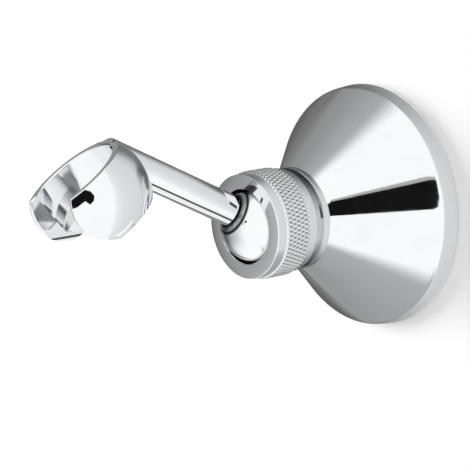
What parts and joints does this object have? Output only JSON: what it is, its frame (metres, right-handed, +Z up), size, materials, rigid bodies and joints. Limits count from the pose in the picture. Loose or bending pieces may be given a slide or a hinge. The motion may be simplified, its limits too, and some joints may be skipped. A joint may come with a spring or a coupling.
{
  "type": "hand_shower_holder",
  "caption": "Chrome wall holder for a hand shower: trumpet-shaped base, knurled nut clamping a ball joint, and a round arm ending in a slotted cup",
  "frame": {"origin": "centre of the base's ring-shaped wall face, on the plane of the wall", "axes": "+Z up along the wall, +Y into the wall, +X to the right for a person facing the wall"},
  "size_m": [0.076, 0.1161, 0.076],
  "materials": {
    "base_chrome": "polished chrome plate",
    "seat_nylon": "natural nylon",
    "ball_chrome": "polished chrome plate",
    "nut_chrome": "satin chrome plate on a knurl",
    "arm_chrome": "polished chrome plate"
  },
  "bodies": {
    "base": {"wall_base": "base_chrome"},
    "seat": {"friction_seat": "seat_nylon"},
    "ball": {"swivel_ball": "ball_chrome"},
    "arm": {"holder_arm": "arm_chrome"},
    "nut": {"clamp_nut": "nut_chrome"}
  },
  "joints": [
    {"name": "seat_swivel", "type": "hinge", "parent": "base", "child": "seat", "pos_m": [0, -0.04605, 0], "axis": [0, -1, 0], "continuous": true},
    {"name": "ball_tilt", "type": "hinge", "parent": "seat", "child": "ball", "pos_m": [0, -0.04605, 0], "axis": [0.918, 0, 0.3967], "range_deg": [-7.3, 67.7]},
    {"name": "arm_twist", "type": "hinge", "parent": "ball", "child": "arm", "pos_m": [0, -0.04605, 0], "axis": [-0.1995, -0.8643, 0.4617], "continuous": true},
    {"name": "nut_turn", "type": "hinge", "parent": "base", "child": "nut", "pos_m": [0, -0.04453, 0], "axis": [0, -1, 0], "range_deg": [0, 90]}
  ]
}
